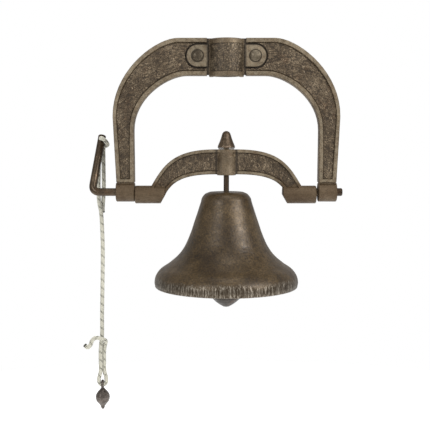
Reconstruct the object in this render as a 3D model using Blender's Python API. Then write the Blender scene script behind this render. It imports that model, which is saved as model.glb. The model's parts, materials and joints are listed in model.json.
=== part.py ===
"""Wall mounted bell: a clamped cast arch carries a swinging yoke, bell, clapper, crank rod and pull rope.

Lengths in the constants are millimetres; MM turns them into metres.
+Z is up, -Y is the front, and the origin is on the axis of the clamp's vertical pipe bore.
"""

import math

import bmesh
import bpy
from mathutils import Matrix, Vector

MM = 0.001
GAP = 0.3

PIVOT_Z = -169.5
PIN_R = 4.9
PIN_BORE_R = 5.2

ARCH_FRONT = -9.0
ARCH_BACK = 9.0
ARCH_PANEL = -6.7
ARCH_WEB_BACK = -1.5
ARCH_RIB = 5.4
ARCH_TOP = 19.4
ARCH_UNDER = -25.8
ARCH_BREAK_X = 24.0
LEG_BOTTOM = -157.0
LEG_BORDER = 3.8

LEG_BOSS = (114.0, 137.0)
LEG_BOSS_R = 12.1
LEG_BOSS_Z = -169.3

BARREL_R = 21.5
BARREL_WAIST_R = 20.8
BARREL_MID = -4.6
BARREL_HALF = 23.0
BARREL_RIM = 5.5
PIPE_BORE_R = 16.9
CLAMP_SPLIT = 1.0

BOLT_X = 35.4
BOLT_Z = -2.2
BOLT_R = 3.0
BOLT_HOLE_R = 3.4
PAD_R = 13.2
PAD_GROOVE = 2.0
EAR_THICK = 6.0

YOKE_HALF = 7.0
YOKE_PANEL = 5.0
YOKE_RIB = 4.0
YOKE_BOSS_R = 11.1
YOKE_BOSS_Z = -172.5
YOKE_BOSS_IN_LEFT = 76.0
YOKE_BOSS_IN_RIGHT = 70.0
YOKE_BEVEL = ((-12.0, -171.0), (-0.4, -171.8), (6.6, -184.5), (-12.0, -190.0))
YOKE_BOSS_OUT_LEFT = 113.6
YOKE_BOSS_OUT_RIGHT = 111.6
YOKE_BARREL_R = 12.0
YOKE_COLLAR_R = 10.2
YOKE_BARREL_TOP = -116.2
YOKE_BARREL_FOOT = -148.4

HANGER_R = 3.4
HANGER_BORE_R = 3.7
HANGER_EYE_Z = -197.0
CROWN_Z = -169.3
BELL_DEPTH = 118.9
BELL_WALL = 4.5
BELL_LIP = 7.4
CLAPPER_AXIS_Z = -197.8

CRANK_CORNER_X = -167.6
CRANK_LEAN_BACK = 20.0
CRANK_TOP = (-157.2, -99.0)
CRANK_HOLE_DOWN = 6.0
CRANK_BEND_R = 9.0

ROPE_R = 2.6
ROPE_HINGE = (31.6, -119.0)
ROPE_X = -161.0
PULL_EYE_Z = -422.8
KNOT_DROP = -2.5
KNOT_LEG = (2.05, 1.75)


def clear_scene():
    for obj in list(bpy.data.objects):
        bpy.data.objects.remove(obj)


def material(name, colour, metallic, roughness):
    mat = bpy.data.materials.new(name)
    mat.use_nodes = True
    shader = mat.node_tree.nodes["Principled BSDF"]
    shader.inputs["Base Color"].default_value = (*colour, 1.0)
    shader.inputs["Metallic"].default_value = metallic
    shader.inputs["Roughness"].default_value = roughness
    return mat


def link(name, bm, mat=None, helper=False):
    bmesh.ops.recalc_face_normals(bm, faces=bm.faces)
    mesh = bpy.data.meshes.new(name)
    bm.to_mesh(mesh)
    bm.free()
    obj = bpy.data.objects.new(name, mesh)
    bpy.context.scene.collection.objects.link(obj)
    if mat:
        mesh.materials.append(mat)
    if helper:
        obj.hide_render = True
        obj.display_type = "WIRE"
    return obj


def grid_body(rings, close_rings):
    """A closed body from rings of points, each ring closed on itself, capped unless the rings close."""
    bm = bmesh.new()
    rows = []
    for ring in rings:
        rows.append([bm.verts.new(Vector(point) * MM) for point in ring])
    count = len(rows[0])
    spans = len(rows) if close_rings else len(rows) - 1
    for k in range(spans):
        here = rows[k]
        there = rows[(k + 1) % len(rows)]
        for j in range(count):
            n = (j + 1) % count
            bm.faces.new((here[j], here[n], there[n], there[j]))
    if not close_rings:
        bm.faces.new(rows[0])
        bm.faces.new(rows[-1])
    return bm


AXES = {
    "Z": lambda r, a, h: (r * math.cos(a), r * math.sin(a), h),
    "Y": lambda r, a, h: (r * math.cos(a), h, r * math.sin(a)),
    "X": lambda r, a, h: (h, r * math.cos(a), r * math.sin(a)),
}


def lathe(profile, axis="Z", centre=(0, 0, 0), steps=24):
    """A body turned from (radius, height) points; a first or last radius of 0 closes on the axis."""
    bm = bmesh.new()
    place = AXES[axis]
    columns = []
    for radius, height in profile:
        if radius == 0:
            point = Vector(place(0, 0, height)) + Vector(centre)
            columns.append([bm.verts.new(point * MM)])
            continue
        column = []
        for k in range(steps):
            point = Vector(place(radius, 2 * math.pi * (k + 0.5) / steps, height)) + Vector(centre)
            column.append(bm.verts.new(point * MM))
        columns.append(column)
    pairs = list(zip(columns, columns[1:]))
    if len(columns[0]) > 1:
        pairs.append((columns[-1], columns[0]))
    for here, there in pairs:
        for k in range(steps):
            n = (k + 1) % steps
            corners = [here[k % len(here)], here[n % len(here)], there[n % len(there)], there[k % len(there)]]
            face = list(dict.fromkeys(corners))
            if len(face) > 2:
                bm.faces.new(face)
    return bm


def box(lo, hi):
    bm = bmesh.new()
    bmesh.ops.create_cube(bm, size=1.0)
    for vert in bm.verts:
        vert.co = Vector([(lo[k] if vert.co[k] < 0 else hi[k]) * MM for k in range(3)])
    return bm


def prism(outline, lo, hi):
    """An (x, z) outline carried from y = lo to y = hi."""
    return grid_body([[(x, lo, z) for x, z in outline], [(x, hi, z) for x, z in outline]], False)


def rod(radius, lo, hi, axis, centre=(0, 0, 0), steps=24, chamfer=0.0):
    if chamfer:
        profile = [(0, lo), (radius - chamfer, lo), (radius, lo + chamfer)]
        profile += [(radius, hi - chamfer), (radius - chamfer, hi), (0, hi)]
    else:
        profile = [(0, lo), (radius, lo), (radius, hi), (0, hi)]
    return lathe(profile, axis, centre, steps)


def torus(major, minor, axis, centre, around=20, across=10):
    """A closed ring whose hole runs along the axis."""
    profile = []
    for k in range(across):
        angle = 2 * math.pi * k / across
        profile.append((major + minor * math.cos(angle), minor * math.sin(angle)))
    return lathe(profile, axis, centre, around)


def smooth(points, per=6):
    """Catmull-Rom curve through the points."""
    points = [Vector(point) for point in points]
    ends = [2 * points[0] - points[1]] + points + [2 * points[-1] - points[-2]]
    out = []
    for k in range(1, len(ends) - 2):
        a, b, c, d = ends[k - 1 : k + 3]
        for j in range(per):
            t = j / per
            out.append(
                0.5
                * (
                    2 * b
                    + (c - a) * t
                    + (2 * a - 5 * b + 4 * c - d) * t * t
                    + (3 * b - a - 3 * c + d) * t * t * t
                )
            )
    out.append(points[-1])
    return out


def tube(path, radius, steps=12, round_start=False):
    """A round bar along a path, its section carried along without twist."""
    path = [Vector(point) for point in path]
    tangents = []
    for k in range(len(path)):
        tangents.append((path[min(k + 1, len(path) - 1)] - path[max(k - 1, 0)]).normalized())
    side = tangents[0].orthogonal().normalized()
    rings = []
    for k, (point, tangent) in enumerate(zip(path, tangents)):
        if k:
            side = tangents[k - 1].rotation_difference(tangent) @ side
        up = tangent.cross(side)
        if k == 0 and round_start:
            for angle in (80, 60, 40, 20):
                lift = radius * math.sin(math.radians(angle))
                small = radius * math.cos(math.radians(angle))
                rings.append(ring_at(point - tangent * lift, side, up, small, steps))
        rings.append(ring_at(point, side, up, radius, steps))
    return grid_body(rings, False)


def ring_at(point, side, up, radius, steps):
    ring = []
    for k in range(steps):
        angle = 2 * math.pi * k / steps
        ring.append(point + (side * math.cos(angle) + up * math.sin(angle)) * radius)
    return ring


def bezier(p0, p1, p2, p3, count):
    out = []
    for k in range(count + 1):
        t = k / count
        s = 1 - t
        x = s**3 * p0[0] + 3 * s * s * t * p1[0] + 3 * s * t * t * p2[0] + t**3 * p3[0]
        z = s**3 * p0[1] + 3 * s * s * t * p1[1] + 3 * s * t * t * p2[1] + t**3 * p3[1]
        out.append((x, z))
    return out


def combine(target, other, operation):
    """A live exact Boolean with a helper object."""
    other.hide_render = True
    other.display_type = "WIRE"
    modifier = target.modifiers.new(other.name, "BOOLEAN")
    modifier.operation = operation
    modifier.solver = "EXACT"
    modifier.object = other


def union(target, name, bm):
    combine(target, link(name, bm, helper=True), "UNION")


def cut(target, name, bm):
    combine(target, link(name, bm, helper=True), "DIFFERENCE")


def swept_half(outer, inner, section, sign):
    """A cast rib section carried between an outer and an inner outline, on the side of X that sign names."""
    rings = []
    for (xo, zo), (xi, zi) in zip(outer, inner):
        width = math.hypot(xi - xo, zi - zo)
        ring = []
        for across, depth in section(width):
            t = across / width
            ring.append((sign * (xo + (xi - xo) * t), depth, zo + (zi - zo) * t))
        rings.append(ring)
    return grid_body(rings, False)


def arch_section(width):
    """Channel open to the back: a rib at each edge, a recessed panel in front, a deep recess behind."""
    c = 0.9
    rib = ARCH_RIB
    return [
        (0, ARCH_FRONT + c),
        (c, ARCH_FRONT),
        (rib - 0.5, ARCH_FRONT),
        (rib + 0.3, ARCH_PANEL),
        (width - rib - 0.3, ARCH_PANEL),
        (width - rib + 0.5, ARCH_FRONT),
        (width - c, ARCH_FRONT),
        (width, ARCH_FRONT + c),
        (width, ARCH_BACK - c),
        (width - c, ARCH_BACK),
        (width - rib + 0.8, ARCH_BACK),
        (width - rib - 0.2, ARCH_WEB_BACK),
        (rib + 0.2, ARCH_WEB_BACK),
        (rib - 0.8, ARCH_BACK),
        (c, ARCH_BACK),
        (0, ARCH_BACK - c),
    ]


def yoke_section(width):
    """I section: a rib at each edge and a recessed panel in front and behind."""
    c = 0.9
    rib = YOKE_RIB
    front = [
        (0, -YOKE_HALF + c),
        (c, -YOKE_HALF),
        (rib - 0.4, -YOKE_HALF),
        (rib + 0.3, -YOKE_PANEL),
        (width - rib - 0.3, -YOKE_PANEL),
        (width - rib + 0.4, -YOKE_HALF),
        (width - c, -YOKE_HALF),
        (width, -YOKE_HALF + c),
    ]
    return front + [(across, -depth) for across, depth in reversed(front)]


def arch_outlines():
    """Outer and inner edge of one half of the arch, from the clamp out and down to the foot of the leg."""
    outer = [(ARCH_BREAK_X + (59.0 - ARCH_BREAK_X) * k / 3, ARCH_TOP) for k in range(3)]
    outer += bezier((59.0, ARCH_TOP), (86.9, ARCH_TOP), (140.0, -20.5), (140.0, -76.0), 17)
    outer += [(138.7, -105.0), (137.4, -131.0), (136.1, LEG_BOTTOM)]
    inner = [(ARCH_BREAK_X + (49.0 - ARCH_BREAK_X) * k / 3, ARCH_UNDER) for k in range(3)]
    inner += bezier((49.0, ARCH_UNDER), (71.5, ARCH_UNDER), (114.5, -51.5), (114.5, -93.0), 17)
    inner += [(114.4, -114.0), (114.2, -135.0), (114.1, LEG_BOTTOM)]
    return outer, inner


def stadium(sign, reach_x, radius):
    """Clamp ear outline: straight from reach_x out to the bolt, then a half circle round it."""
    points = [(sign * reach_x, BOLT_Z - radius)]
    for k in range(17):
        angle = -math.pi / 2 + math.pi * k / 16
        points.append((sign * (BOLT_X + radius * math.cos(angle)), BOLT_Z + radius * math.sin(angle)))
    points.append((sign * reach_x, BOLT_Z + radius))
    return points


def barrel_profile(half, rim):
    """Outside of the clamp barrel: a raised band at each end."""
    return [
        (0, -half),
        (BARREL_R - 0.8, -half),
        (BARREL_R, -half + 0.8),
        (BARREL_R, -half + rim),
        (BARREL_WAIST_R, -half + rim + 0.8),
        (BARREL_WAIST_R, half - rim - 0.8),
        (BARREL_R, half - rim),
        (BARREL_R, half - 0.8),
        (BARREL_R - 0.8, half),
        (0, half),
    ]


def make_arch(mat):
    outer, inner = arch_outlines()
    arch = link("arch_frame", swept_half(outer, inner, arch_section, 1), mat)
    union(arch, "arch_left_half", swept_half(outer, inner, arch_section, -1))
    web = box((-26.5, -7.1, ARCH_UNDER + 0.6), (26.5, -CLAMP_SPLIT, ARCH_TOP - 0.6))
    union(arch, "arch_web", web)
    front = box((-23.0, -30.0, -30.0), (23.0, -CLAMP_SPLIT, 30.0))
    barrel = lathe(barrel_profile(BARREL_HALF, BARREL_RIM), "Z", (0, 0, BARREL_MID), 48)
    barrel = link("arch_barrel", barrel, helper=True)
    combine(barrel, link("arch_barrel_front", front, helper=True), "INTERSECT")
    combine(arch, barrel, "UNION")
    for side, sign in (("left", -1), ("right", 1)):
        cut(arch, f"pad_groove_{side}", prism(stadium(sign, 24.2, PAD_R + PAD_GROOVE), -12.0, -5.7))
        union(arch, f"pad_{side}", prism(stadium(sign, 22.5, PAD_R), -9.3, -4.0))
        leg = (114.9, 135.7)
        ends = sorted((sign * leg[0], sign * leg[1]))
        union(arch, f"leg_neck_{side}", box((ends[0], -6.4, -168.0), (ends[1], 6.4, -154.5)))
        foot = sorted((sign * 116.0, sign * 135.4))
        border = box((foot[0], -8.8, LEG_BOTTOM + 0.3), (foot[1], -3.0, LEG_BOTTOM + LEG_BORDER))
        union(arch, f"leg_border_{side}", border)
        ends = sorted((sign * LEG_BOSS[0], sign * LEG_BOSS[1]))
        boss = rod(LEG_BOSS_R, *ends, "X", (0, 0, LEG_BOSS_Z), 32, 0.9)
        union(arch, f"leg_boss_{side}", boss)
    cut(arch, "pipe_bore_front", rod(PIPE_BORE_R, -40, 40, "Z", steps=48))
    for side, sign in (("left", -1), ("right", 1)):
        cut(arch, f"bolt_hole_{side}", rod(BOLT_HOLE_R, -20, 20, "Y", (sign * BOLT_X, 0, BOLT_Z), 20))
        reach = sorted((sign * 108.0, sign * 145.0))
        cut(arch, f"pin_bore_{side}", rod(PIN_BORE_R, *reach, "X", (0, 0, PIVOT_Z), 24))
    return arch


def make_rear_clamp(mat):
    clamp = link("rear_clamp", lathe(barrel_profile(21.4, BARREL_RIM), "Z", (0, 0, BARREL_MID), 48), mat)
    keep = link("rear_half", box((-25, CLAMP_SPLIT, -30), (25, 30, 30)), helper=True)
    combine(clamp, keep, "INTERSECT")
    for side, sign in (("left", -1), ("right", 1)):
        ear = prism(stadium(sign, 15.0, PAD_R), CLAMP_SPLIT + 0.05, CLAMP_SPLIT + EAR_THICK)
        union(clamp, f"ear_{side}", ear)
    cut(clamp, "pipe_bore_rear", rod(PIPE_BORE_R, -40, 40, "Z", steps=48))
    for side, sign in (("left", -1), ("right", 1)):
        cut(clamp, f"ear_hole_{side}", rod(BOLT_HOLE_R, -20, 20, "Y", (sign * BOLT_X, 0, BOLT_Z), 20))
    return clamp


def hexagon(across_flats, steps=24):
    """Radius of a hexagon at each of the steps, corners included."""
    radii = []
    for k in range(steps):
        angle = (2 * math.pi * k / steps) % (math.pi / 3) - math.pi / 6
        radii.append(across_flats / 2 / math.cos(angle))
    return radii


def hex_nut(across_flats, bore, lo, hi, axis, centre):
    steps = 24
    place = AXES[axis]
    radii = hexagon(across_flats, steps)
    rings = []
    for k in range(steps):
        angle = 2 * math.pi * k / steps
        outer = radii[k]
        edge = outer - (across_flats / 2 * 0.97)
        section = [(bore, lo), (outer - edge, lo), (outer, lo + 0.25 + edge * 0.5)]
        section += [(outer, hi - 0.25 - edge * 0.5), (outer - edge, hi), (bore, hi)]
        rings.append([Vector(place(r, angle, h)) + Vector(centre) for r, h in section])
    return grid_body(rings, True)


def make_clamp_bolts(steel):
    for side, sign in (("left", -1), ("right", 1)):
        centre = (sign * BOLT_X, 0, BOLT_Z)
        head = -9.3 - GAP
        profile = [(0, head - 2.9), (2.6, head - 2.7), (4.9, head - 2.1), (6.4, head - 1.2), (7.0, head - 0.4)]
        profile += [(6.9, head), (BOLT_R, head), (BOLT_R, 16.4), (BOLT_R - 0.6, 17.0), (0, 17.0)]
        link(f"clamp_bolt_{side}", lathe(profile, "Y", centre, 24), steel)
        back = CLAMP_SPLIT + EAR_THICK + GAP
        ring = [(BOLT_HOLE_R, back), (7.0, back), (7.0, back + 1.4), (BOLT_HOLE_R, back + 1.4)]
        link(f"clamp_washer_{side}", lathe(ring, "Y", centre, 24), steel)
        nut = hex_nut(10.0, BOLT_R + GAP, back + 1.7, back + 6.7, "Y", centre)
        link(f"clamp_nut_{side}", nut, steel)


def yoke_outlines():
    """Outer and inner edge of one half of the yoke, from its centre out to the pivot boss."""
    outer = [(6.0, -116.45)] + bezier((13.75, -116.4), (67.0, -116.4), (78.3, -136.1), (95.0, -165.0), 18)
    inner = [(6.0, -147.2)] + bezier((13.75, -147.2), (52.0, -147.2), (67.0, -155.0), (77.0, -174.0), 18)
    return outer, inner


def make_yoke(mat):
    outer, inner = yoke_outlines()
    yoke = link("yoke", swept_half(outer, inner, yoke_section, 1), mat)
    union(yoke, "yoke_left_half", swept_half(outer, inner, yoke_section, -1))
    top = YOKE_BARREL_TOP
    foot = YOKE_BARREL_FOOT
    profile = [(0, foot), (YOKE_BARREL_R - 0.8, foot), (YOKE_BARREL_R, foot + 0.8), (YOKE_BARREL_R, foot + 2.6)]
    profile += [(YOKE_BARREL_R - 0.6, foot + 3.2), (YOKE_BARREL_R - 0.3, -126.0), (YOKE_COLLAR_R + 0.4, -123.6)]
    profile += [(YOKE_COLLAR_R, -123.0), (YOKE_COLLAR_R, top - 0.6), (YOKE_COLLAR_R - 0.6, top), (0, top)]
    union(yoke, "yoke_barrel", lathe(profile, steps=32))
    bosses = (
        ("left", -1, YOKE_BOSS_IN_LEFT, YOKE_BOSS_OUT_LEFT),
        ("right", 1, YOKE_BOSS_IN_RIGHT, YOKE_BOSS_OUT_RIGHT),
    )
    for side, sign, near, far in bosses:
        ends = sorted((sign * near, sign * far))
        union(yoke, f"yoke_boss_{side}", rod(YOKE_BOSS_R, *ends, "X", (0, 0, YOKE_BOSS_Z), 32, 0.9))
    cut(yoke, "hanger_bore", rod(HANGER_BORE_R, -180, -100, "Z"))
    for side, sign, near, far in bosses:
        bevel = [(sign * (near + x), z) for x, z in YOKE_BEVEL]
        cut(yoke, f"yoke_bevel_{side}", prism(bevel, -15.0, 15.0))
        reach = sorted((sign * 83.0, sign * 120.0))
        cut(yoke, f"yoke_bore_{side}", rod(PIN_BORE_R, *reach, "X", (0, 0, PIVOT_Z), 24))
        cut(yoke, f"screw_hole_{side}", rod(2.3, 2.0, 20.0, "Y", (sign * 96.0, 0, PIVOT_Z), 16))
    return yoke


def crank_frame():
    """Arm direction, sideways direction and front-facing direction at the top of the crank."""
    height = CRANK_TOP[1] - PIVOT_Z
    top = Vector((CRANK_TOP[0], height * math.tan(math.radians(CRANK_LEAN_BACK)), CRANK_TOP[1]))
    corner = Vector((CRANK_CORNER_X, 0, PIVOT_Z))
    along = (top - corner).normalized()
    sideways = (Vector((1, 0, 0)) - along * along.x).normalized()
    forward = sideways.cross(along)
    return corner, top, along, sideways, forward


def crank_eye():
    corner, top, along, sideways, forward = crank_frame()
    return top - along * CRANK_HOLE_DOWN


def make_crank(mat):
    corner, top, along, sideways, forward = crank_frame()
    start = Vector((1, 0, 0))
    bend = CRANK_BEND_R
    reach = bend / math.tan(start.angle(along) / 2)
    a = corner + start * reach
    b = corner + along * reach
    path = [Vector((-84.0, 0, PIVOT_Z)), Vector((-112.0, 0, PIVOT_Z)), Vector((-138.0, 0, PIVOT_Z))]
    for k in range(11):
        t = k / 10
        path.append(a * (1 - t) ** 2 + corner * 2 * t * (1 - t) + b * t * t)
    path += [top - along * 30.0, top - along * 12.0, top - along * 0.9]
    rings = [(point, PIN_R) for point in path] + [(top, PIN_R - 0.9)]
    tangents = [start * -1] * 3
    for k in range(3, 14):
        tangents.append((path[min(k + 1, 16)] - path[k - 1]).normalized())
    tangents += [along] * 4
    side = Vector((0, 1, 0))
    body = []
    for k, (point, radius) in enumerate(rings):
        tangent = tangents[k]
        side = (side - tangent * side.dot(tangent)).normalized()
        body.append(ring_at(point, side, tangent.cross(side), radius, 20))
    crank = link("crank_rod", grid_body(body, False), mat)
    eye = crank_eye()
    hole = tube([eye - forward * 12, eye, eye + forward * 12], ROPE_R + GAP, 20)
    cut(crank, "rope_hole", hole)
    return crank


def make_pins(steel):
    pin = rod(PIN_R, 84.0, 144.4, "X", (0, 0, PIVOT_Z), 24, 1.0)
    link("pivot_pin", pin, steel)
    for name, x in (("crank_set_screw", -96.0), ("pivot_set_screw", 96.0)):
        tip = PIN_R + GAP
        profile = [(0, tip), (1.6, tip), (2.0, tip + 0.6), (2.0, 11.2), (1.7, 11.5)]
        profile += [(1.1, 11.5), (1.1, 10.0), (0, 9.6)]
        link(name, lathe(profile, "Y", (x, 0, PIVOT_Z), 16), steel)


def make_hanger(iron, steel):
    eye_top = HANGER_EYE_Z + 5.6
    hanger = link("hanger_bolt", rod(HANGER_R, eye_top - 0.9, -99.2, "Z", chamfer=0.6), iron)
    union(hanger, "hanger_eye", torus(5.2, 2.2, "X", (0, 0, HANGER_EYE_Z)))
    ring = [(HANGER_BORE_R, -115.9), (10.0, -115.9), (10.0, -114.9), (HANGER_BORE_R, -114.9)]
    link("finial_washer", lathe(ring), steel)
    facets = 12
    rings = []
    levels = [(-114.6, 10.9), (-114.0, 11.4), (-112.0, 11.0), (-107.3, 8.9), (-102.6, 7.1)]
    levels += [(-97.0, 5.3), (-94.9, 3.8), (-93.7, 1.4)]
    for height, radius in levels:
        ring = []
        for k in range(facets):
            angle = 2 * math.pi * k / facets
            around = radius * (1.0 if k % 2 else 0.955)
            ring.append((around * math.cos(angle), around * math.sin(angle), height))
        rings.append(ring)
    finial = link("finial_nut", grid_body(rings, False), iron)
    cut(finial, "finial_bore", rod(HANGER_BORE_R, -120.0, -98.7, "Z"))
    ring = [(HANGER_BORE_R, -176.2), (9.0, -176.2), (9.0, -174.6), (HANGER_BORE_R, -174.6)]
    link("crown_washer", lathe(ring), steel)
    link("crown_nut", hex_nut(11.0, HANGER_BORE_R, -182.0, -176.5, "Z", (0, 0, 0)), steel)


def bell_outer():
    """Outside of the bell from the crown edge to the lip, as (radius, depth below the crown)."""
    shoulder = [(21.0, 0.0), (26.6, 2.6), (30.4, 7.6), (31.9, 13.0), (34.5, 20.8), (39.0, 34.5), (44.0, 49.5)]
    skirt = [(51.5, 67.0), (60.4, 79.5), (71.9, 89.5), (82.5, 96.9)]
    skirt += [(88.2, 104.5), (90.0, 112.0), (89.3, 117.6)]
    return [(p.x, p.y) for p in smooth([(r, d, 0) for r, d in shoulder + skirt], 2)]


def bell_inner(outer):
    """The same curve set in by a wall that thickens towards the lip."""
    out = []
    for k, (r, d) in enumerate(outer):
        ahead = outer[min(k + 1, len(outer) - 1)]
        behind = outer[max(k - 1, 0)]
        run = (ahead[0] - behind[0], ahead[1] - behind[1])
        size = math.hypot(*run)
        share = max(0.0, (d - 80.0) / (BELL_DEPTH - 80.0))
        wall = BELL_WALL + (BELL_LIP - BELL_WALL) * share
        out.append((r - run[1] / size * wall, d + run[0] / size * wall))
    return out


def make_bell(mat):
    outer = bell_outer()
    inner = [(r, d) for r, d in bell_inner(outer) if d > 5.2 and d < 116.0]
    profile = [(HANGER_BORE_R, 0.0)] + outer
    profile += [(88.2, BELL_DEPTH), (83.5, BELL_DEPTH - 0.2)]
    profile += list(reversed(inner))
    profile += [(18.0, 5.0), (HANGER_BORE_R, 5.0)]
    link("bell", lathe([(r, CROWN_Z - d) for r, d in profile], steps=48), mat)


def make_clapper(iron):
    axis = CLAPPER_AXIS_Z
    shank = link("clapper_shank", rod(2.2, -285.6, axis - 9.6, "Z", steps=16, chamfer=0.5), iron)
    union(shank, "clapper_eye", torus(4.6, 1.6, "Y", (0, 0, axis - 4.6)))
    profile = [(0, -314.4), (3.9, -313.5), (8.4, -310.9), (13.4, -307.2), (18.0, -302.8), (20.4, -299.0)]
    profile += [(21.0, -295.4), (20.4, -290.0), (18.4, -284.6), (14.4, -279.6), (9.0, -276.0), (5.0, -274.6)]
    profile += [(2.5, -274.3), (2.5, -286.0), (0, -286.0)]
    link("clapper_ball", lathe(profile, steps=36), iron)


def make_rope_eye(mat):
    """The turn of rope through the crank's hole and round the arm; it rides with the crank."""
    corner, top, u, e, w = crank_frame()
    eye = crank_eye()
    y, z = ROPE_HINGE
    low = z + ROPE_R + 0.6
    back = eye - w * 5.6
    points = [
        Vector((-162.6, y, low)),
        Vector((-162.4, y, low + 3.6)),
        Vector((-160.6, y - 1.0, back.z - 2.2)),
        back,
        eye - w * 2.0,
        eye + w * 2.0,
        eye + w * 5.6,
        eye + w * 8.6 + e * 1.8 - u * 0.8,
        eye + w * 6.6 + e * 5.8 - u * 2.6,
        eye + w * 0.5 + e * 8.2 - u * 4.2,
        Vector((-151.0, y - 8.0, low + 4.6)),
        Vector((-153.8, y - 2.6, low + 3.6)),
        Vector((-156.6, y - 0.2, low + 2.2)),
        Vector((-156.8, y, low)),
    ]
    link("rope_eye", tube(smooth(points, 3), ROPE_R, 10), mat)


def knot_points():
    """Rope centreline: standing part, pull's eye, up beside the standing part, round it and out to the tail."""
    y = ROPE_HINGE[0]
    x = ROPE_X
    side, deep = KNOT_LEG
    points = [(x, y, -350.0), (x - 0.3, y - 0.3, -358.0), (x - 1.4, y - 1.2, -368.0), (x - side, y - deep, -378.0)]
    points += [(x - side, y - deep, -396.0), (x - 2.6, y - 1.6, -404.5), (x - 4.4, y - 0.7, -411.0)]
    points += [(x - 4.8, y - 0.2, -414.8), (x - 4.2, y, -418.2), (x - 2.0, y, -420.3), (x, y, -420.4)]
    points += [(x + 2.0, y, -420.3), (x + 4.2, y, -418.2), (x + 4.8, y + 0.2, -414.8), (x + 4.4, y + 0.7, -411.0)]
    points += [(x + 2.6, y + 1.6, -404.5), (x + side, y + deep, -396.0), (x + side, y + deep, -378.0)]
    points += [(x + 3.4, y + 1.6, -368.5), (x + 4.7, y - 0.6, -363.5), (x + 3.4, y - 4.6, -360.5)]
    points += [(x - 0.4, y - 6.0, -358.6), (x - 4.6, y - 5.2, -357.8), (x - 9.0, y - 4.0, -358.4)]
    points += [(x - 12.8, y - 2.4, -362.0), (x - 15.4, y - 1.6, -368.2), (x - 19.1, y - 1.4, -371.0)]
    points += [(x - 23.2, y - 1.4, -367.4)]
    return [(px, py, pz + KNOT_DROP) for px, py, pz in points]


def make_rope(mat):
    """The hanging rope, plumb below the crank, and the return strand stitched in behind it."""
    y, z = ROPE_HINGE
    down = [(-162.6, y, z), (-163.0, y, -140.0), (-163.6, y, -166.0), (-163.0, y, -184.0), (-160.4, y, -200.0)]
    down += [(-159.0, y, -240.0), (-159.8, y, -290.0), (-160.8, y, -330.0)]
    path = smooth(down, 2)[:-1] + smooth([down[-1]] + knot_points(), 2)
    link("rope", tube(path, ROPE_R, 10, round_start=True), mat)
    back = [(-156.8, y, z), (-156.8, y, -136.0), (-156.8, y + 0.6, -152.0), (-157.1, y + 3.0, -166.0)]
    back += [(-158.2, y + 5.4, -180.0), (-159.1, y + 5.9, -190.0), (-159.2, y + 5.9, -198.5)]
    link("rope_return", tube(smooth(back, 3), ROPE_R, 10, round_start=True), mat)


def make_pull(mat):
    centre = (ROPE_X, ROPE_HINGE[0], KNOT_DROP)
    profile = [(0, -453.2), (1.3, -452.9), (2.3, -451.2), (2.9, -449.0), (4.7, -446.5), (8.1, -442.4), (9.1, -439.4)]
    profile += [(9.3, -436.6), (8.6, -433.4), (6.3, -429.8), (3.2, -426.6), (2.3, -425.2), (0, -424.9)]
    pull = link("pull", lathe(profile, "Z", centre, 14), mat)
    union(pull, "pull_eye", torus(4.7, 1.6, "X", (ROPE_X, ROPE_HINGE[0], PULL_EYE_Z)))


def set_origin(name, point):
    """Moves an object's origin onto its joint axis and leaves its shape where it is."""
    obj = bpy.data.objects[name]
    shift = Vector(point) * MM
    obj.data.transform(Matrix.Translation(-shift))
    obj.location = shift


clear_scene()
iron = material("arch_iron", (0.085, 0.062, 0.045), 0.6, 0.6)
yoke_iron = material("yoke_iron", (0.075, 0.055, 0.04), 0.6, 0.55)
bell_iron = material("bell_iron", (0.05, 0.042, 0.03), 0.8, 0.4)
rod_iron = material("rod_iron", (0.06, 0.045, 0.035), 0.8, 0.45)
fastener = material("fastener_steel", (0.12, 0.1, 0.08), 0.9, 0.4)
rope_fibre = material("rope_fibre", (0.8, 0.76, 0.66), 0.0, 0.9)
pull_iron = material("pull_iron", (0.05, 0.05, 0.05), 0.8, 0.45)

make_arch(iron)
make_rear_clamp(iron)
make_clamp_bolts(fastener)
make_yoke(yoke_iron)
make_crank(rod_iron)
make_pins(rod_iron)
make_hanger(rod_iron, fastener)
make_bell(bell_iron)
make_clapper(rod_iron)
make_rope_eye(rope_fibre)
make_rope(rope_fibre)
make_pull(pull_iron)

SWINGING = ["yoke", "crank_rod", "pivot_pin", "crank_set_screw", "pivot_set_screw", "hanger_bolt"]
SWINGING += ["finial_nut", "finial_washer", "bell", "crown_washer", "crown_nut", "rope_eye"]
for moving in SWINGING:
    set_origin(moving, (0, 0, PIVOT_Z))
set_origin("clapper_shank", (0, 0, CLAPPER_AXIS_Z))
set_origin("clapper_ball", (0, 0, CLAPPER_AXIS_Z))
set_origin("rope", (ROPE_X, *ROPE_HINGE))
set_origin("rope_return", (ROPE_X, *ROPE_HINGE))
set_origin("pull", (ROPE_X, ROPE_HINGE[0], PULL_EYE_Z))
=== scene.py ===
import json
import math

import bmesh
import bpy
import numpy as np
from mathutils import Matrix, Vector, noise


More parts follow.
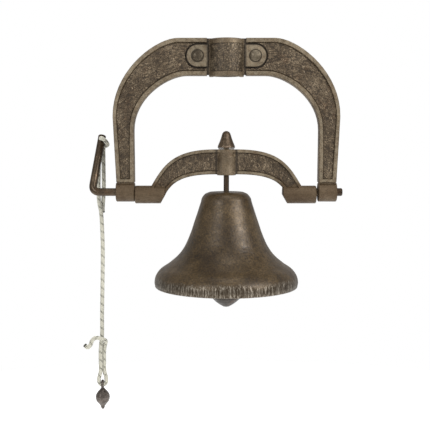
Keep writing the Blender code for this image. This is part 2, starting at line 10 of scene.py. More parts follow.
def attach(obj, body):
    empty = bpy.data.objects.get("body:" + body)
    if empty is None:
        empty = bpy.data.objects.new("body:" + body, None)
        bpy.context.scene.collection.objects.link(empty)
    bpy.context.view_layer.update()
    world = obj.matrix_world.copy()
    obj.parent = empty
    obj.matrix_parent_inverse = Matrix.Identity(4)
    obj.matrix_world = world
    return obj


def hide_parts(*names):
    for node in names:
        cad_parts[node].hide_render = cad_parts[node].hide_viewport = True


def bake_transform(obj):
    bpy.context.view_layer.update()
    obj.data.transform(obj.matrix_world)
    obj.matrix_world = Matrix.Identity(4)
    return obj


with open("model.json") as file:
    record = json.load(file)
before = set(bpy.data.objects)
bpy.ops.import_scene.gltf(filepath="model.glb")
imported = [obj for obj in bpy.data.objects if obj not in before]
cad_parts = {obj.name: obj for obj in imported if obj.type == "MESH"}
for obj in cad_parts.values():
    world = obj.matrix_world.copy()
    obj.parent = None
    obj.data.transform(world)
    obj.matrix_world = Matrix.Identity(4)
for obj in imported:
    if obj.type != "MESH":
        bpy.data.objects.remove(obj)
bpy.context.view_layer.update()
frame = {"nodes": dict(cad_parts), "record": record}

MM = 0.001
NODES = frame["nodes"]
SWING = "bell_swing_body"

# Driving sizes of the object, in millimetres
PIVOT_Z = -169.5
ARCH_TOP = 19.4
ARCH_UNDER = -25.8
ARCH_PANEL = -6.7
ARCH_RIB = 5.4
LEG_BOTTOM = -157.0
LEG_BORDER = 3.8
BARREL_WAIST = 20.8
BARREL_MID = -4.6
BOLT = (35.4, -2.2)
PAD_REACH = 24.2
PAD_EDGE = 15.2
YOKE_PANEL = 5.0
YOKE_RIB = 4.0
HANGER_BORE_R = 3.7
CROWN_Z = -169.3
BELL_DEPTH = 118.9
ROPE_R = 2.6
ROPE_HINGE = (31.6, -119.0)
ROPE_X = -161.0
KNOT_DROP = -2.5
KNOT_LEG = (2.05, 1.75)
CRANK_CORNER = (-167.6, 0.0, PIVOT_Z)
CRANK_TOP_X = -157.2
CRANK_TOP_Z = -99.0
CRANK_LEAN = 20.0
CRANK_HOLE_DOWN = 6.0


# ---------------------------------------------------------------- camera

TARGET = Vector((-0.0141, 0.0, -0.1982))
DISTANCE = 1.08
ELEVATION = math.radians(4.75)
VIEW_WIDTH = 0.5375


def make_camera():
    data = bpy.data.cameras.new("camera")
    data.angle = 2 * math.atan(VIEW_WIDTH / 2 / DISTANCE)
    data.clip_end = 20
    camera = bpy.data.objects.new("camera", data)
    bpy.context.scene.collection.objects.link(camera)
    away = Vector((0, -math.cos(ELEVATION), math.sin(ELEVATION)))
    camera.location = TARGET + away * DISTANCE
    camera.rotation_euler = (-away).to_track_quat("-Z", "Y").to_euler()
    bpy.context.scene.camera = camera


# ---------------------------------------------------------------- materials


RUST = (0.085, 0.042, 0.016)
RUBBED = (0.24, 0.205, 0.145)
PEAK = (0.27, 0.215, 0.145)
# Near-black painted shade for crevices, creases, pits and the grooves round the bolts
CREVICE_SHADE = (0.010, 0.006, 0.003)
BOSS_BROWN = (0.060, 0.036, 0.016)
CLAMP_SEAM = 22.8
YOKE_SEAM = 12.4
# Radius, half width and strength of the painted shade rings round each bolt's pad and head
PAD_SHADE_RING = (14.4, 1.7, 0.9)
HEAD_SHADE_RING = (7.4, 1.0, 0.8)
SPECKS = ((0.36, (0.42, 0.40, 0.38)), (0.52, (0.95, 0.94, 0.92)), (0.70, (1.35, 1.3, 1.22)))
BELL_TONES = ((0.32, (0.030, 0.018, 0.007)), (0.5, (0.056, 0.036, 0.015)), (0.7, (0.090, 0.061, 0.030)))
BELL_SPECKS = ((0.36, (0.4, 0.38, 0.35)), (0.55, (1.0, 0.98, 0.94)), (0.72, (1.7, 1.6, 1.45)))
WORN_LIP = ((0.38, (0.030, 0.020, 0.011)), (0.52, (0.085, 0.068, 0.048)), (0.68, (0.36, 0.32, 0.265)))
LIP_WEAR = (108, 113)
CAST_TONES = ((0.070, 0.047, 0.025), (0.120, 0.087, 0.052), (0.180, 0.138, 0.090))
ROD_TONES = ((0.028, 0.018, 0.010), (0.062, 0.042, 0.024), (0.120, 0.088, 0.058))
CLAPPER_TONES = ((0.012, 0.008, 0.004), (0.030, 0.021, 0.012), (0.060, 0.044, 0.028))
STEEL_TONES = ((0.040, 0.030, 0.018), (0.085, 0.067, 0.043), (0.15, 0.125, 0.088))
PULL_TONES = ((0.040, 0.034, 0.029), (0.090, 0.076, 0.066), (0.19, 0.165, 0.15))


class Shader:
    """A Principled material, with short calls for the nodes that colour and roughen it."""

    def __init__(self, name, metallic, roughness):
        self.mat = bpy.data.materials.new(name)
        self.mat.use_nodes = True
        self.tree = self.mat.node_tree
        self.out = self.tree.nodes["Principled BSDF"]
        self.out.inputs["Metallic"].default_value = metallic
        self.out.inputs["Roughness"].default_value = roughness
        self.place = self.node("ShaderNodeTexCoord").outputs["Object"]

    def node(self, kind, **settings):
        made = self.tree.nodes.new(kind)
        for key, value in settings.items():
            setattr(made, key, value)
        return made

    def wire(self, output, target):
        self.tree.links.new(output, target)

    def stretched(self, scale):
        made = self.node("ShaderNodeMapping")
        made.inputs["Scale"].default_value = scale
        self.wire(self.place, made.inputs["Vector"])
        return made.outputs["Vector"]

    def noise(self, scale, detail=4.0, rough=0.55, vector=None):
        made = self.node("ShaderNodeTexNoise")
        made.inputs["Scale"].default_value = scale
        made.inputs["Detail"].default_value = detail
        made.inputs["Roughness"].default_value = rough
        self.wire(vector or self.place, made.inputs["Vector"])
        return made.outputs["Fac"]

    def attribute(self, name):
        return self.node("ShaderNodeAttribute", attribute_name=name).outputs["Fac"]

    def axes(self):
        made = self.node("ShaderNodeSeparateXYZ")
        self.wire(self.place, made.inputs[0])
        return made.outputs["X"], made.outputs["Y"], made.outputs["Z"]

    def calc(self, operation, a, b=None):
        made = self.node("ShaderNodeMath", operation=operation)
        for socket, value in zip(made.inputs, (a, b)):
            if isinstance(value, float):
                socket.default_value = value
            elif value is not None:
                self.wire(value, socket)
        return made.outputs[0]

    def ramp(self, fac, stops):
        made = self.node("ShaderNodeValToRGB")
        band = made.color_ramp
        while len(band.elements) < len(stops):
            band.elements.new(0.5)
        for element, (position, colour) in zip(band.elements, stops):
            element.position = position
            element.color = (*colour, 1.0)
        self.wire(fac, made.inputs["Fac"])
        return made.outputs["Color"]

    def remap(self, fac, low, high, to_low, to_high):
        made = self.node("ShaderNodeMapRange")
        for key, value in zip(("From Min", "From Max", "To Min", "To Max"), (low, high, to_low, to_high)):
            made.inputs[key].default_value = value
        self.wire(fac, made.inputs["Value"])
        return made.outputs["Result"]

    def mix(self, fac, a, b, blend="MIX"):
        made = self.node("ShaderNodeMix", data_type="RGBA", blend_type=blend)
        if isinstance(fac, float):
            made.inputs["Factor"].default_value = fac
        else:
            self.wire(fac, made.inputs["Factor"])
        for key, value in (("A", a), ("B", b)):
            socket = [s for s in made.inputs if s.name == key and s.type == "RGBA"][0]
            if isinstance(value, tuple):
                socket.default_value = (*value, 1.0)
            else:
                self.wire(value, socket)
        return [s for s in made.outputs if s.type == "RGBA"][0]

    def bump(self, fac, strength, distance, below=None):
        made = self.node("ShaderNodeBump")
        made.inputs["Strength"].default_value = strength
        made.inputs["Distance"].default_value = distance
        self.wire(fac, made.inputs["Height"])
        if below:
            self.wire(below, made.inputs["Normal"])
        return made.outputs["Normal"]

    def finish(self, colour=None, roughness=None, normal=None, metallic=None):
        keys = ("Base Color", "Roughness", "Normal", "Metallic")
        for key, value in zip(keys, (colour, roughness, normal, metallic)):
            if value is not None:
                self.wire(value, self.out.inputs[key])
        return self.mat


def iron(name, tones, rough=(0.42, 0.68), metallic=0.5, grain=700.0, lumps=0.5, rubbed=None, seam=None):
    """Old bare iron: brown patina in blotches, worn grains, painted shade in the crevices and creases, and
    rubbed ribs where asked.
    """
    s = Shader(name, metallic, 0.5)
    blotch = s.noise(38.0, 5.0, 0.6)
    fine = s.noise(grain, 3.0, 0.6)
    base = s.ramp(blotch, list(zip((0.34, 0.52, 0.68), tones)))
    speck = s.ramp(fine, SPECKS)
    colour = s.mix(0.75, base, speck, "MULTIPLY")
    rust = s.remap(s.noise(90.0, 6.0, 0.65), 0.56, 0.7, 0.0, 0.5)
    colour = s.mix(rust, colour, RUST)
    x, y, z = s.axes()
    wide = s.calc("ABSOLUTE", x)
    if rubbed:
        rib = s.remap(s.calc("ABSOLUTE", y), rubbed[0] * MM, rubbed[1] * MM, 0.0, 0.5)
        patchy = s.remap(s.noise(210.0, 4.0), 0.4, 0.62, 0.25, 1.0)
        above_boss = s.remap(z, (PIVOT_Z + 10) * MM, (PIVOT_Z + 14) * MM, 0.0, 1.0)
        beside_barrel = s.remap(wide, (seam - 1) * MM, seam * MM, 0.35, 1.0)
        where = s.calc("MULTIPLY", above_boss, beside_barrel)
        rib = s.calc("MULTIPLY", s.calc("MULTIPLY", rib, patchy), where)
        colour = s.mix(rib, colour, RUBBED)
        colour = s.mix(s.remap(above_boss, 0.0, 1.0, 0.6, 0.0), colour, BOSS_BROWN)
        # Painted shade along the crease where the panels meet the clamp barrel or the yoke's hub
        off = s.calc("ABSOLUTE", s.calc("SUBTRACT", wide, seam * MM))
        colour = s.mix(s.remap(off, 0.5 * MM, 2.4 * MM, 0.8, 0.0), colour, CREVICE_SHADE)
    if seam == CLAMP_SEAM:
        colour = bolt_shadows(s, wide, z, colour)
    colour = s.mix(s.calc("MULTIPLY", s.attribute("peak"), 0.5), colour, PEAK)
    # Painted shade in the hollows between the stipple's grains
    colour = s.mix(s.calc("MULTIPLY", s.attribute("crevice_shade"), 0.8), colour, CREVICE_SHADE)
    roughness = s.remap(s.noise(150.0, 4.0), 0.3, 0.7, *rough)
    normal = s.bump(s.noise(grain * 0.6, 4.0), lumps, 0.0005)
    normal = s.bump(s.noise(120.0, 3.0), 0.25, 0.0012, normal)
    return s.finish(colour, roughness, normal)


def bolt_shadows(s, wide, z, colour):
    """Painted shade in the groove round each bolt's pad, running straight in to the barrel, and round its
    head.
    """
    away = s.calc("SUBTRACT", wide, BOLT[0] * MM)
    rise = s.calc("SUBTRACT", z, BOLT[1] * MM)
    past = s.calc("MAXIMUM", away, 0.0)
    outside = s.remap(wide, CLAMP_SEAM * MM, (CLAMP_SEAM + 1) * MM, 0.0, 1.0)
    for across, (radius, half, strength) in ((past, PAD_SHADE_RING), (away, HEAD_SHADE_RING)):
        squares = s.calc("MULTIPLY", across, across), s.calc("MULTIPLY", rise, rise)
        reach = s.calc("SQRT", s.calc("ADD", *squares))
        off = s.calc("ABSOLUTE", s.calc("SUBTRACT", reach, radius * MM))
        ring = s.calc("MULTIPLY", s.remap(off, half * 0.4 * MM, half * MM, strength, 0.0), outside)
        colour = s.mix(ring, colour, CREVICE_SHADE)
    return colour


def bell_material():
    """Dark satin iron: pits round the waist darkened with painted shade, and a worn lip with upright
    scratches.
    """
    s = Shader("bell_iron", 0.35, 0.4)
    blotch = s.noise(30.0, 6.0, 0.6)
    base = s.ramp(blotch, BELL_TONES)
    fine = s.noise(520.0, 4.0, 0.65)
    speck = s.ramp(fine, BELL_SPECKS)
    colour = s.mix(0.8, base, speck, "MULTIPLY")
    # Painted shade in the pits round the waist
    colour = s.mix(s.calc("MULTIPLY", s.attribute("crevice_shade"), 0.85), colour, CREVICE_SHADE)
    height = s.axes()[2]
    ragged = s.calc("MULTIPLY", s.noise(45.0, 4.0), 10 * MM)
    lip_top, lip_full = (CROWN_Z - LIP_WEAR[0]) * MM, (CROWN_Z - LIP_WEAR[1]) * MM
    lip = s.remap(s.calc("SUBTRACT", height, ragged), lip_top, lip_full, 0.0, 0.9)
    scratch = s.noise(1.0, 3.0, 0.7, s.stretched((700.0, 700.0, 60.0)))
    worn = s.ramp(scratch, WORN_LIP)
    colour = s.mix(lip, colour, worn)
    roughness = s.remap(s.noise(110.0, 5.0), 0.3, 0.7, 0.34, 0.5)
    normal = s.bump(s.noise(300.0, 4.0), 0.35, 0.0005)
    normal = s.bump(scratch, 0.15, 0.0003, normal)
    return s.finish(colour, roughness, normal, s.remap(lip, 0.0, 1.0, 0.35, 0.8))


def rope_material():
    """Off-white braided cotton with a dark tracer yarn and a fine fuzz."""
    s = Shader("rope_fibre", 0.0, 0.85)
    fuzz = s.noise(1500.0, 3.0, 0.6)
    base = s.ramp(fuzz, [(0.3, (0.38, 0.365, 0.29)), (0.6, (0.51, 0.50, 0.43))])
    # Painted shade in the grooves between the braid's strands
    colour = s.mix(s.attribute("groove"), base, (0.25, 0.23, 0.14))
    colour = s.mix(s.attribute("tracer"), colour, (0.045, 0.045, 0.035))
    s.out.inputs["Sheen Weight"].default_value = 0.2
    return s.finish(colour, None, s.bump(fuzz, 0.4, 0.0003))


def plain_white(name, value, glow, roughness=0.9):
    s = Shader(name, 0.0, roughness)
    s.out.inputs["Emission Color"].default_value = (1, 1, 1, 1)
    s.out.inputs["Emission Strength"].default_value = glow
    tint = s.ramp(s.noise(3.0, 2.0), [(0.3, (value * 0.995,) * 3), (0.7, (value,) * 3)])
    return s.finish(tint)


# ---------------------------------------------------------------- mesh helpers


def add_mesh(name, verts, faces, mat, smooth=True):
    mesh = bpy.data.meshes.new(name)
    mesh.from_pydata([tuple(v) for v in verts], [], faces)
    mesh.materials.append(mat)
    if smooth:
        mesh.polygons.foreach_set("use_smooth", [True] * len(mesh.polygons))
    mesh.update()
    obj = bpy.data.objects.new(name, mesh)
    bpy.context.scene.collection.objects.link(obj)
    return obj


def grid_faces(rows, columns, wrap_rows=False, wrap_columns=False):
    faces = []
    for i in range(rows if wrap_rows else rows - 1):
        for j in range(columns if wrap_columns else columns - 1):
            a = i * columns + j
            b = i * columns + (j + 1) % columns
            c = ((i + 1) % rows) * columns + (j + 1) % columns
            d = ((i + 1) % rows) * columns + j
            faces.append((a, d, c, b))
    return faces


def bezier(p0, p1, p2, p3, count):
    out = []
    for k in range(count + 1):
        t = k / count
        s = 1 - t
        sides = zip(p0, p1, p2, p3)
        out.append(tuple(s**3 * a + 3 * s * s * t * b + 3 * s * t * t * c + t**3 * d for a, b, c, d in sides))
    return out


def smooth_curve(points, per=8):
    """Catmull-Rom curve through the points."""
    points = [Vector(p) for p in points]
    ends = [2 * points[0] - points[1]] + points + [2 * points[-1] - points[-2]]
    out = []
    for k in range(1, len(ends) - 2):
        a, b, c, d = ends[k - 1 : k + 3]
        for j in range(per):
            t = j / per
            far = (3 * b - a - 3 * c + d) * t**3
            out.append(0.5 * (2 * b + (c - a) * t + (2 * a - 5 * b + 4 * c - d) * t * t + far))
    out.append(points[-1])
    return out


def length_along(points):
    """The line's points as an array, and its length so far at each of them."""
    pts = np.array([tuple(p) for p in points])
    return pts, np.concatenate([[0], np.cumsum(np.linalg.norm(np.diff(pts, axis=0), axis=1))])


def resample_to(points, count):
    """The same line as an even row of count points, and its length so far at each."""
    pts, along = length_along(points)
    at = np.linspace(0, along[-1], count)
    return np.stack([np.interp(at, along, pts[:, k]) for k in range(3)], axis=1), at


def count_for(points, step):
    return max(2, int(length_along(points)[1][-1] / step) + 1)


def pebble(point):
    """Height from 0 to 1 of a stippled casting: rounded grains with narrow crevices between them."""
    size = GRAIN * (1.0 + 0.25 * noise.noise(point / 9.0))
    near = noise.voronoi(point / size, distance_metric="DISTANCE", exponent=2.5)[0]
    grain = min(1.0, 2.0 * (near[1] - near[0]))
    lift = 0.5 + 0.5 * noise.cell(point / (GRAIN * 1.7))
    return max(0.0, min(1.0, grain * (0.55 + 0.45 * lift) * (0.85 + 0.5 * noise.noise(point / 4.0))))


# ---------------------------------------------------------------- stippled panels

GRID = 0.7
GRAIN = 3.0
SKIN = 0.25
CREVICE_TOP = 0.5
PEAK_FOOT = 0.6
FOOT = 0.1
FADE = 1.8
RIB_GAP = 0.15
GROOVE_FLOOR = -1.3
ARCH_STIPPLE = 1.15
YOKE_STIPPLE = 1.0
BARREL_STIPPLE = 0.85
BARREL_PATCHES = (("barrel_stipple_front", -1, 16.9, 82), ("barrel_stipple_back", 1, 15.3, 72))
BARREL_COLUMNS = 84
BARREL_SINK = 0.05


def normals_out(obj):
    bm = bmesh.new()
    bm.from_mesh(obj.data)
    bmesh.ops.recalc_face_normals(bm, faces=bm.faces)
    bm.to_mesh(obj.data)
    bm.free()


def paint(obj, name, values):
    """A value from 0 to 1 at each vertex, which the material reads by name."""
    layer = obj.data.attributes.new(name, "FLOAT", "POINT")
    layer.data.foreach_set("value", np.asarray(values, dtype=np.float32).ravel())


def relief(name, front, out, heights, mat, body):
    """A closed thin skin over a panel: its face follows the heights, and its back lies inside the casting."""
    rows, columns = front.shape[:2]
    face = front + out * heights[..., None]
    back = front + out * (np.minimum(heights, 0.0) - SKIN)[..., None]
    verts = np.concatenate([face.reshape(-1, 3), back.reshape(-1, 3)]) * MM
    count = rows * columns
    faces = grid_faces(rows, columns)
    faces += [tuple(count + k for k in reversed(f)) for f in grid_faces(rows, columns)]
    rim = [(0, j) for j in range(columns)] + [(i, columns - 1) for i in range(1, rows)]
    rim += [(rows - 1, j) for j in range(columns - 2, -1, -1)] + [(i, 0) for i in range(rows - 2, 0, -1)]
    for k, (i, j) in enumerate(rim):
        m, n = rim[(k + 1) % len(rim)]
        a, b = i * columns + j, m * columns + n
        faces.append((a, b, count + b, count + a))
    obj = add_mesh(name, verts, faces, mat)
    normals_out(obj)
    # Painted shade, stronger the deeper a point lies between the grains
    deep = np.clip((CREVICE_TOP - heights) / CREVICE_TOP * 1.4, 0.0, 1.0)
    high = np.clip((heights - PEAK_FOOT) / (1.0 - PEAK_FOOT), 0.0, 1.0)
    paint(obj, "crevice_shade", np.concatenate([deep.ravel(), deep.ravel()]))
    paint(obj, "peak", np.concatenate([high.ravel(), high.ravel()]))
    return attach(obj, body)


def in_pad_groove(x, z):
    """Whether a point of the front panel lies on the bolt's pad or in the groove round it."""
    along = min(max(abs(x), PAD_REACH), BOLT[0])
    return math.hypot(abs(x) - along, z - BOLT[1]) < PAD_EDGE


def panel_strip(name, outer, inner, rib, plane, facing, height, mat, body):
    """Stippled skin of a cast panel between its two border ribs."""
    outer, inner = ([(x, plane, z) for x, z in edge] for edge in (outer, inner))
    steps = count_for(outer, GRID)
    a = resample_to(outer, steps)[0]
    b = resample_to(inner, steps)[0]
    width = np.linalg.norm(b - a, axis=1)
    columns = int((width.max() - 2 * rib) / GRID)
    front = np.zeros((steps, columns, 3))
    heights = np.zeros((steps, columns))
    for i in range(steps):
        inset = (rib + RIB_GAP) / width[i]
        for j in range(columns):
            t = inset + (1 - 2 * inset) * j / (columns - 1)
            front[i, j] = a[i] + (b[i] - a[i]) * t
            edge = min(1.0, j / FADE, (columns - 1 - j) / FADE)
            heights[i, j] = (FOOT + height * pebble(Vector(front[i, j]))) * edge
            if body == "frame" and in_pad_groove(front[i, j][0], front[i, j][2]):
                heights[i, j] = GROOVE_FLOOR
    return relief(name, front, np.array((0.0, facing, 0.0)), heights, mat, body)


def arch_outlines(start):
    over = bezier((59.0, ARCH_TOP), (86.9, ARCH_TOP), (140.0, -20.5), (140.0, -76.0), 40)
    outer = [(start, ARCH_TOP)] + over
    outer += [(136.25, LEG_BOTTOM + LEG_BORDER)]
    under = bezier((49.0, ARCH_UNDER), (71.5, ARCH_UNDER), (114.5, -51.5), (114.5, -93.0), 40)
    inner = [(start, ARCH_UNDER)] + under
    inner += [(114.15, LEG_BOTTOM + LEG_BORDER)]
    return outer, inner


def yoke_outlines():
    outer = bezier((13.75, -116.4), (67.0, -116.4), (78.3, -136.1), (95.0, -165.0), 60)[:-8]
    inner = bezier((13.75, -147.2), (52.0, -147.2), (67.0, -155.0), (77.0, -174.0), 60)[:-5]
    return outer, inner


def mirrored(outline, sign):
    return [(sign * x, z) for x, z in outline]


def make_panels(arch_mat, yoke_mat):
    outer, inner = arch_outlines(25.5)
    for side, sign in (("left", -1), ("right", 1)):
        edges = mirrored(outer, sign), mirrored(inner, sign)
        name = f"arch_stipple_{side}"
        panel_strip(name, *edges, ARCH_RIB, ARCH_PANEL, -1.0, ARCH_STIPPLE, arch_mat, "frame")
    outer, inner = yoke_outlines()
    for side, sign in (("left", -1), ("right", 1)):
        for face, facing in (("front", -1.0), ("back", 1.0)):
            name = f"yoke_stipple_{face}_{side}"
            edges = mirrored(outer, sign), mirrored(inner, sign)
            panel_strip(name, *edges, YOKE_RIB, YOKE_PANEL * facing, facing, YOKE_STIPPLE, yoke_mat, SWING)
    for name, facing, half, degrees in BARREL_PATCHES:
        barrel_patch(name, facing, half, math.radians(degrees), arch_mat)


def barrel_patch(name, facing, half, spread, mat):
    """Stippled skin round one half of the clamp barrel, between its rims."""
    rows, columns = int(half * 2 / GRID), BARREL_COLUMNS
    front = np.zeros((rows, columns, 3))
    out = np.zeros((rows, columns, 3))
    heights = np.zeros((rows, columns))
    for i in range(rows):
        for j in range(columns):
            angle = -spread + 2 * spread * j / (columns - 1)
            direction = np.array((math.sin(angle), facing * math.cos(angle), 0.0))
            level = np.array((0, 0, BARREL_MID - half + 2 * half * i / (rows - 1)))
            front[i, j] = direction * (BARREL_WAIST - BARREL_SINK) + level
            out[i, j] = direction
            edge = min(1.0, i / FADE, (rows - 1 - i) / FADE, j / FADE, (columns - 1 - j) / FADE)
            heights[i, j] = (FOOT + BARREL_STIPPLE * pebble(Vector(front[i, j]))) * edge
    return relief(name, front, out, heights, mat, "frame")


# ---------------------------------------------------------------- bell


BELL_STEPS = 256
WALL, WALL_MORE, WALL_FROM = 4.5, 2.9, 80.0
CROWN_R = 21.0
CROWN_WALL = 5.0
PIT_MIDDLE, PIT_SPREAD, PIT_SIZE, PIT_DEPTH = 66.0, 26.0, 3.0, 0.55
SCRATCH_FROM = 103


def bell_outline(per):
    """Radius and depth below the crown, from the crown's edge to the lip."""
    shoulder = [(CROWN_R, 0.0), (26.6, 2.6), (30.4, 7.6), (31.9, 13.0)]
    waist = [(34.5, 20.8), (39.0, 34.5), (44.0, 49.5), (51.5, 67.0), (60.4, 79.5)]
    skirt = [(71.9, 89.5), (82.5, 96.9), (88.2, 104.5), (90.0, 112.0), (89.3, 117.6)]
    return [(p.x, p.y) for p in smooth_curve([(r, d, 0) for r, d in shoulder + waist + skirt], per)]


def bell_wall(outer):
    out = []
    for k, (r, d) in enumerate(outer):
        ahead = outer[min(k + 1, len(outer) - 1)]
        behind = outer[max(k - 1, 0)]
        run = (ahead[0] - behind[0], ahead[1] - behind[1])
        size = math.hypot(*run)
        wall = WALL + WALL_MORE * max(0.0, (d - WALL_FROM) / (BELL_DEPTH - WALL_FROM))
        out.append((r - run[1] / size * wall, d + run[0] / size * wall))
    return out


def make_bell(mat):
    """The bell, turned finely enough to carry the casting's lumps, waist pits and lip scratches as shape."""
    outer = bell_outline(12)
    inner = [(r, d) for r, d in bell_wall(outer) if 5.2 < d < 116.0]
    crown = [(HANGER_BORE_R + (CROWN_R - HANGER_BORE_R) * k / 8, 0.0) for k in range(8)]
    lip = [(88.9, 118.4), (88.2, BELL_DEPTH), (86.0, BELL_DEPTH)]
    lip += [(83.9, BELL_DEPTH - 0.1), (83.2, BELL_DEPTH - 0.7)]
    ceiling = [(18.0, CROWN_WALL), (HANGER_BORE_R, CROWN_WALL)]
    profile = crown + outer + lip + list(reversed(inner))[::3] + ceiling
    skin = len(crown) + len(outer)
    steps = BELL_STEPS
    verts = []
    pits = []
    for k, (r, d) in enumerate(profile):
        for j in range(steps):
            angle = 2 * math.pi * j / steps
            push = 0.0
            sunk = 0.0
            if k < skin and d > 0.5:
                spot = Vector((r * math.cos(angle), r * math.sin(angle), d))
                push = 0.16 * noise.noise(spot / 16.0) + 0.06 * noise.noise(spot / 3.0)
                zone = math.exp(-(((d - PIT_MIDDLE) / PIT_SPREAD) ** 2))
                pit = noise.voronoi(spot / PIT_SIZE, distance_metric="DISTANCE", exponent=2.5)[0][0]
                sunk = zone * max(0.0, 0.5 - pit) / 0.5 * (0.6 + 0.7 * noise.noise(spot / 9.0))
                push -= PIT_DEPTH * sunk
                if d > SCRATCH_FROM:
                    scratch = noise.noise(Vector((spot.x * 0.9, spot.y * 0.9, d * 0.06)))
                    push -= 0.1 * max(0.0, scratch)
            # How deep each pit is, kept as the amount of painted shade the material puts in it
            pits.append(min(1.0, max(0.0, sunk) * 2.2))
            around = (r + push) * math.cos(angle) * MM, (r + push) * math.sin(angle) * MM
            verts.append((*around, (CROWN_Z - d) * MM))
    obj = add_mesh("bell_shell", verts, grid_faces(len(profile), steps, True, True), mat)
    normals_out(obj)
    paint(obj, "crevice_shade", pits)
    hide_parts("bell")
    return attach(obj, SWING)


# ---------------------------------------------------------------- rope


def crank_directions():
    height = CRANK_TOP_Z - PIVOT_Z
    top = Vector((CRANK_TOP_X, height * math.tan(math.radians(CRANK_LEAN)), CRANK_TOP_Z))
    along = (top - Vector(CRANK_CORNER)).normalized()
    sideways = (Vector((1, 0, 0)) - along * along.x).normalized()
    return top - along * CRANK_HOLE_DOWN, along, sideways, sideways.cross(along)


def knot_points():
    """From the standing part through the pull's eye, up beside itself, round itself and out to the tail."""
    y = ROPE_HINGE[0]
    x = ROPE_X
    side, deep = KNOT_LEG
    points = [(x, y, -350.0), (x - 0.3, y - 0.3, -358.0), (x - 1.4, y - 1.2, -368.0)]
    points += [(x - side, y - deep, -378.0)]
    points += [(x - side, y - deep, -396.0), (x - 2.6, y - 1.6, -404.5), (x - 4.4, y - 0.7, -411.0)]
    points += [(x - 4.8, y - 0.2, -414.8), (x - 4.2, y, -418.2), (x - 2.0, y, -420.3), (x, y, -420.4)]
    points += [(x + 2.0, y, -420.3), (x + 4.2, y, -418.2), (x + 4.8, y + 0.2, -414.8)]
    points += [(x + 4.4, y + 0.7, -411.0)]
    points += [(x + 2.6, y + 1.6, -404.5), (x + side, y + deep, -396.0), (x + side, y + deep, -378.0)]
    points += [(x + 3.4, y + 1.6, -368.5), (x + 4.7, y - 0.6, -363.5), (x + 3.4, y - 4.6, -360.5)]
    points += [(x - 0.4, y - 6.0, -358.6), (x - 4.6, y - 5.2, -357.8), (x - 9.0, y - 4.0, -358.4)]
    points += [(x - 12.8, y - 2.4, -362.0), (x - 15.4, y - 1.6, -368.2), (x - 19.1, y - 1.4, -371.0)]
    points += [(x - 23.2, y - 1.4, -367.4)]
    return [(px, py, pz + KNOT_DROP) for px, py, pz in points]


def rope_routes():
    """Both runs of the rope from the crank's hole: the hanging rope, and the end returning behind it."""
    eye, u, e, w = crank_directions()
    y, z = ROPE_HINGE
    low = z + ROPE_R + 0.6
    back = eye - w * 5.6
    hang = [eye, eye - w * 2.0, back]
    hang += [(-160.6, y - 1.0, back.z - 2.2), (-162.4, y, low + 3.6), (-162.6, y, low)]
    hang += [(-162.6, y, z), (-163.0, y, -140.0), (-163.6, y, -166.0), (-163.0, y, -184.0)]
    hang += [(-160.4, y, -200.0), (-159.0, y, -240.0), (-159.8, y, -290.0), (-160.8, y, -330.0)]
    hang += knot_points()
    wrap = [eye, eye + w * 2.0, eye + w * 5.6]
    wrap += [eye + w * 8.6 + e * 1.8 - u * 0.8, eye + w * 6.6 + e * 5.8 - u * 2.6]
    wrap += [eye + w * 0.5 + e * 8.2 - u * 4.2, (-151.0, y - 8.0, low + 4.6), (-153.8, y - 2.6, low + 3.6)]
    wrap += [(-156.6, y - 0.2, low + 2.2), (-156.8, y, low), (-156.8, y, z), (-156.8, y, -136.0)]
    wrap += [(-156.8, y + 0.6, -152.0), (-157.1, y + 3.0, -166.0), (-158.2, y + 5.4, -180.0)]
    wrap += [(-159.1, y + 5.9, -190.0), (-159.2, y + 5.9, -198.5)]
    return hang, wrap


def frames_along(pts):
    """A side direction at each point, carried along without twist."""
    tangents = np.gradient(pts, axis=0)
    tangents /= np.linalg.norm(tangents, axis=1)[:, None]
    side = Vector(tangents[0]).orthogonal().normalized()
    sides = []
    for tangent in tangents:
        t = Vector(tangent)
        side = (side - t * side.dot(t)).normalized()
        sides.append(tuple(side))
    return tangents, np.array(sides)


CARRIERS = 8
BRAID_PITCH = 10.5
SEALED_END = 2.2
TRACER_CARRIER = 1
RING_STEP = 0.42
RING_POINTS = 40
GROOVE_DEPTH, STRAND_RISE = 0.34, 0.36


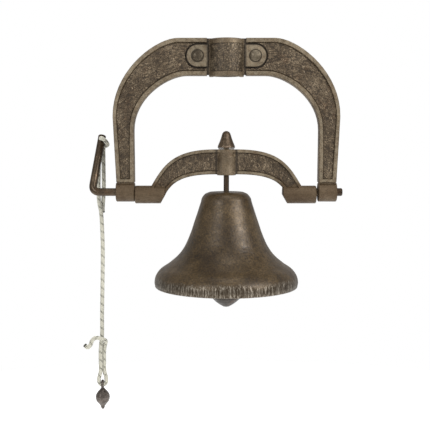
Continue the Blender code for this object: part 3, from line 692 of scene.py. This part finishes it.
def braided(name, points, mat):
    """A tube whose surface is a diamond braid of eight carriers, one of them carrying a dark tracer yarn."""
    curve = smooth_curve(points)
    pts, along = resample_to(curve, count_for(curve, RING_STEP))
    tangents, sides = frames_along(pts)
    ups = np.cross(tangents, sides)
    around = RING_POINTS
    theta = np.linspace(0, 2 * math.pi, around, endpoint=False)[None, :]
    s = along[:, None]
    half = CARRIERS / 2
    u = half * theta / (2 * math.pi) + half * s / BRAID_PITCH
    v = half * theta / (2 * math.pi) - half * s / BRAID_PITCH
    over = (np.floor(u * 2) + np.floor(v * 2)) % 2
    hu = np.sqrt(np.clip(1 - (2 * ((u * 2) % 1) - 1) ** 2, 0, 1))
    hv = np.sqrt(np.clip(1 - (2 * ((v * 2) % 1) - 1) ** 2, 0, 1))
    height = np.where(over > 0.5, hu, hv)
    radius = ROPE_R - GROOVE_DEPTH + STRAND_RISE * height
    end = np.minimum(1.0, np.minimum(s, along[-1] - s) / 0.8)
    radius = radius * np.sqrt(np.clip(1 - (1 - end) ** 2, 0.05, 1))
    across = sides[:, None, :] * np.cos(theta)[..., None] + ups[:, None, :] * np.sin(theta)[..., None]
    verts = (pts[:, None, :] + across * radius[..., None]).reshape(-1, 3) * MM
    faces = grid_faces(len(pts), around, False, True)
    faces += [tuple(range(around)), tuple(reversed(range(len(verts) - around, len(verts))))]
    obj = add_mesh(name, verts, faces, mat)
    carrier = np.floor(u * 2) % CARRIERS
    traced = (carrier == TRACER_CARRIER) | (carrier == TRACER_CARRIER + 1)
    dark = (over > 0.5) & traced & (hu > 0.2)
    sealed = (along[-1] - s < SEALED_END) + 0.0 * theta
    normals_out(obj)
    paint(obj, "tracer", np.maximum(dark * 0.9, sealed))
    # How much painted shade each point gets, by how low it lies between the strands
    paint(obj, "groove", np.clip(1 - height * 1.6, 0, 1))
    return obj, pts, along[-1]


def make_rope(mat):
    hang, wrap = rope_routes()
    for name, points, others, nodes in (
        ("rope_hanging", hang, [NODES["pull"]], ("rope", "rope_eye")),
        ("rope_return_run", wrap, [], ("rope_return",)),
    ):
        obj, path, length = braided(name, points, mat)
        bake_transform(obj)
        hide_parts(*nodes)


# ---------------------------------------------------------------- stage and lights


FLOOR_Z = -1.0
FLOOR_R = 2.4
FLOOR_SIDES = 96
AIM = Vector((0, 0, -0.18))


def make_stage():
    """A round pale floor, well below the object, which hangs free over it."""
    turn = [2 * math.pi * k / FLOOR_SIDES for k in range(FLOOR_SIDES)]
    rim = [(FLOOR_R * math.cos(angle), FLOOR_R * math.sin(angle), FLOOR_Z) for angle in turn]
    floor = add_mesh("floor", rim, [tuple(range(FLOOR_SIDES))], plain_white("floor_white", 0.93, 0.4), False)


def area_light(name, spot, size, power, warmth=(1, 1, 1)):
    data = bpy.data.lights.new(name, "AREA")
    data.size = size
    data.energy = power
    data.color = warmth
    lamp = bpy.data.objects.new(name, data)
    bpy.context.scene.collection.objects.link(lamp)
    lamp.location = spot
    aim = AIM - Vector(spot)
    lamp.rotation_euler = aim.to_track_quat("-Z", "Y").to_euler()
    return lamp


AMBIENT = 0.55


def make_lights():
    area_light("key", (1.15, -0.95, 0.50), 0.7, 20.0, (1.0, 0.98, 0.96))
    area_light("fill", (-0.85, -1.3, 0.40), 0.45, 9.0)
    area_light("top", (0.1, -0.5, 1.4), 0.7, 4.0)
    wash = area_light("wash", (0.0, 0.2, 2.2), 3.0, 70.0)
    wash.visible_glossy = False
    world = bpy.data.worlds.new("studio")
    world.use_nodes = True
    tree = world.node_tree
    tree.nodes["Background"].inputs["Color"].default_value = (1, 1, 1, 1)
    seen_or_lit = tree.nodes.new("ShaderNodeMapRange")
    seen_or_lit.inputs["To Min"].default_value = AMBIENT
    seen_or_lit.inputs["To Max"].default_value = 1.0
    path = tree.nodes.new("ShaderNodeLightPath")
    tree.links.new(path.outputs["Is Camera Ray"], seen_or_lit.inputs["Value"])
    tree.links.new(seen_or_lit.outputs["Result"], tree.nodes["Background"].inputs["Strength"])
    bpy.context.scene.world = world
    bpy.context.scene.view_settings.view_transform = "Standard"


# ---------------------------------------------------------------- the whole


make_camera()
rope_mat = rope_material()
make_rope(rope_mat)

arch_mat = iron("arch_iron", CAST_TONES, rubbed=(7.8, 8.9), seam=CLAMP_SEAM)
yoke_mat = iron("yoke_iron", CAST_TONES, rubbed=(5.6, 6.9), seam=YOKE_SEAM)
rod_mat = iron("rod_iron", ROD_TONES, (0.3, 0.5), 0.65, 900.0, 0.25)
steel_mat = iron("fastener_steel", STEEL_TONES, (0.35, 0.55), 0.6, 900.0, 0.2)
pull_mat = iron("pull_iron", PULL_TONES, (0.28, 0.42), 0.7, 800.0, 0.3)
make_panels(arch_mat, yoke_mat)
make_bell(bell_material())

SLOT_NAMES = ("arch_iron", "yoke_iron", "rod_iron", "fastener_steel", "pull_iron")
SLOT_MATERIALS = dict(zip(SLOT_NAMES, (arch_mat, yoke_mat, rod_mat, steel_mat, pull_mat)))
for part in frame["record"]["subparts"]:
    if part["material_slot"] in SLOT_MATERIALS:
        for material_slot in NODES[part["node"]].material_slots:
            material_slot.material = SLOT_MATERIALS[part["material_slot"]]
clapper_mat = iron("clapper_iron", CLAPPER_TONES, (0.4, 0.55), 0.4, 900.0, 0.3)
NODES["clapper_ball"].material_slots[0].material = clapper_mat

make_stage()
make_lights()
